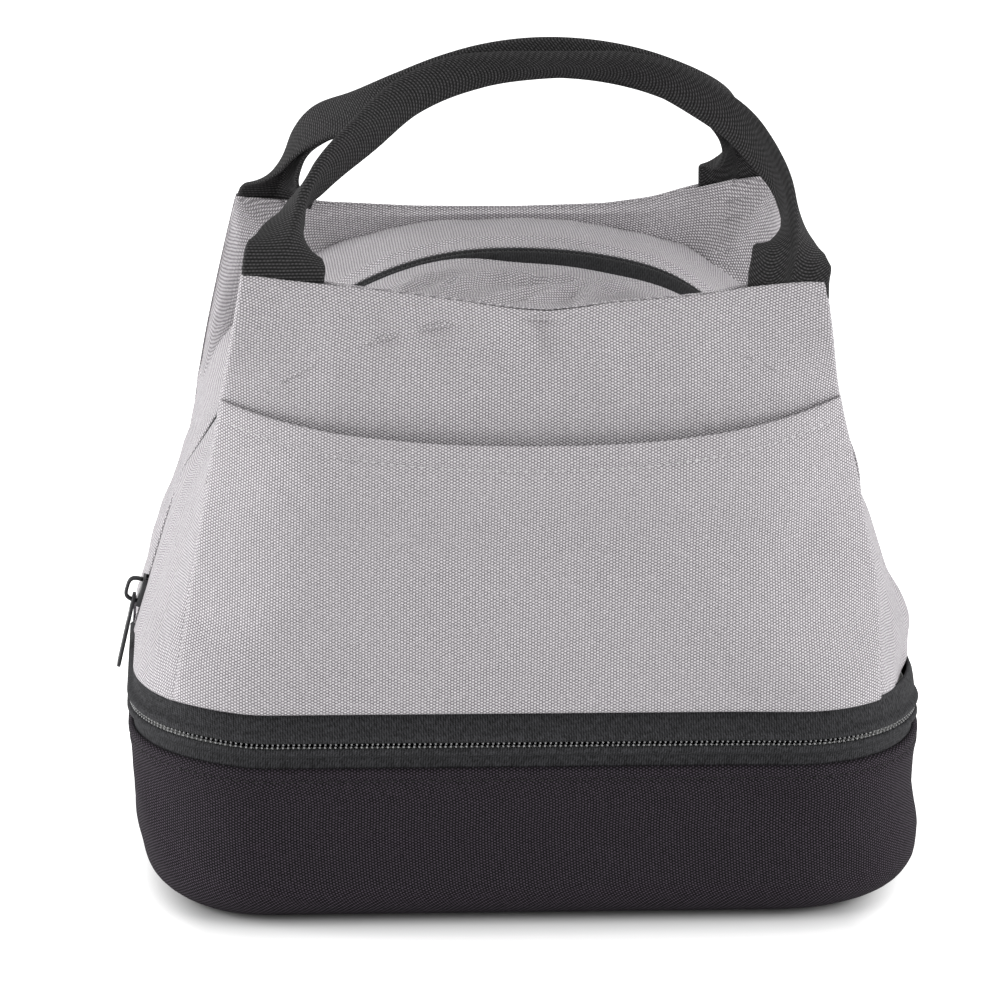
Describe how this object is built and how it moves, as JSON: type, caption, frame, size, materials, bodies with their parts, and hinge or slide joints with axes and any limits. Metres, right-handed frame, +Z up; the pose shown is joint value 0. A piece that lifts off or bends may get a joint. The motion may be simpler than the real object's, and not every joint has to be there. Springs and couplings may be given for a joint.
{
  "type": "insulated lunch bag",
  "caption": "Two-compartment insulated lunch bag with a zip-round base, a tapered zip-topped upper section, a front slip pocket and twin web handles.",
  "frame": {"origin": "middle of the flat underside, on the floor", "axes": "+Z up through the handles, +X to the right of the front pocket, +Y from the pocket side to the back"},
  "size_m": [0.2766, 0.1688, 0.2795],
  "materials": {
    "grey_fabric": "matt woven",
    "black_fabric": "matt woven",
    "webbing": "ribbed webbing",
    "zip_tape": "ribbed tape",
    "zip_teeth": "nylon coil",
    "zip_slider": "satin black",
    "foam": "closed-cell foam",
    "lining": "coated film"
  },
  "bodies": {
    "base": {"base_wall": "black_fabric", "base_bottom_panel": "black_fabric", "base_foam": "foam", "base_lining": "lining", "base_zip_tape_lower": "zip_tape", "base_zip_coil_lower": "zip_teeth", "rear_hinge_leaf_lower": "black_fabric"},
    "upper": {"base_zip_tape_upper": "zip_tape", "base_zip_coil_upper": "zip_teeth", "rear_hinge_leaf_upper": "black_fabric", "divider_under_lining": "lining", "divider_foam": "foam", "divider_top_lining": "lining"},
    "front_half": {"front_panel": "grey_fabric", "front_panel_foam": "foam", "front_panel_lining": "lining", "front_flap_facing": "grey_fabric", "front_gusset": "grey_fabric", "front_gusset_foam": "foam", "front_gusset_lining": "lining", "main_zip_tape_front": "zip_tape", "main_zip_coil_front": "zip_teeth", "front_handle_end_left": "webbing", "front_handle_end_right": "webbing", "front_pocket": "grey_fabric"},
    "rear_half": {"rear_panel": "grey_fabric", "rear_panel_foam": "foam", "rear_panel_lining": "lining", "rear_flap_facing": "grey_fabric", "rear_gusset": "grey_fabric", "rear_gusset_foam": "foam", "rear_gusset_lining": "lining", "main_zip_tape_rear": "zip_tape", "main_zip_coil_rear": "zip_teeth", "rear_handle_end_left": "webbing", "rear_handle_end_right": "webbing", "main_zip_garage": "zip_tape"},
    "front_handle": {"front_handle": "webbing"},
    "rear_handle": {"rear_handle": "webbing"},
    "main_slider": {"main_zip_slider": "zip_slider"},
    "main_pull": {"main_zip_pull": "zip_slider"},
    "base_slider": {"base_zip_slider": "zip_slider"},
    "base_pull": {"base_zip_pull": "zip_slider"}
  },
  "joints": [
    {"name": "lid_tilt", "type": "hinge", "parent": "base", "child": "upper", "pos_m": [0, 0.0842, 0.065], "axis": [-1, 0, 0], "range_deg": [0, 90]},
    {"name": "front_wall_fold", "type": "hinge", "parent": "upper", "child": "front_half", "pos_m": [0, -0.0822, 0.0766], "axis": [1, 0, 0], "range_deg": [0, 35]},
    {"name": "rear_wall_fold", "type": "hinge", "parent": "upper", "child": "rear_half", "pos_m": [0, 0.0822, 0.0766], "axis": [-1, 0, 0], "range_deg": [0, 35]},
    {"name": "front_handle_swing", "type": "hinge", "parent": "front_half", "child": "front_handle", "pos_m": [0, -0.0607, 0.2153], "axis": [1, 0, 0], "range_deg": [0, 90]},
    {"name": "rear_handle_swing", "type": "hinge", "parent": "rear_half", "child": "rear_handle", "pos_m": [0, 0.0607, 0.2153], "axis": [-1, 0, 0], "range_deg": [0, 90]},
    {"name": "main_slider_slide", "type": "slide", "parent": "rear_half", "child": "main_slider", "axis": [0.2756, 0, 0.9613], "range_m": [0, 0.026]},
    {"name": "main_pull_swing", "type": "hinge", "parent": "main_slider", "child": "main_pull", "pos_m": [-0.12966, 0, 0.08682], "axis": [0, 1, 0], "range_deg": [0, 120]},
    {"name": "base_slider_slide", "type": "slide", "parent": "base", "child": "base_slider", "axis": [0, -1, 0], "range_m": [0, 0.06]},
    {"name": "base_pull_swing", "type": "hinge", "parent": "base_slider", "child": "base_pull", "pos_m": [0.13745, 0.031, 0.065], "axis": [0, -1, 0], "range_deg": [0, 120]}
  ],
  "couplings": [
    {"joint": "rear_wall_fold", "follows": "front_wall_fold", "ratio": 1}
  ]
}
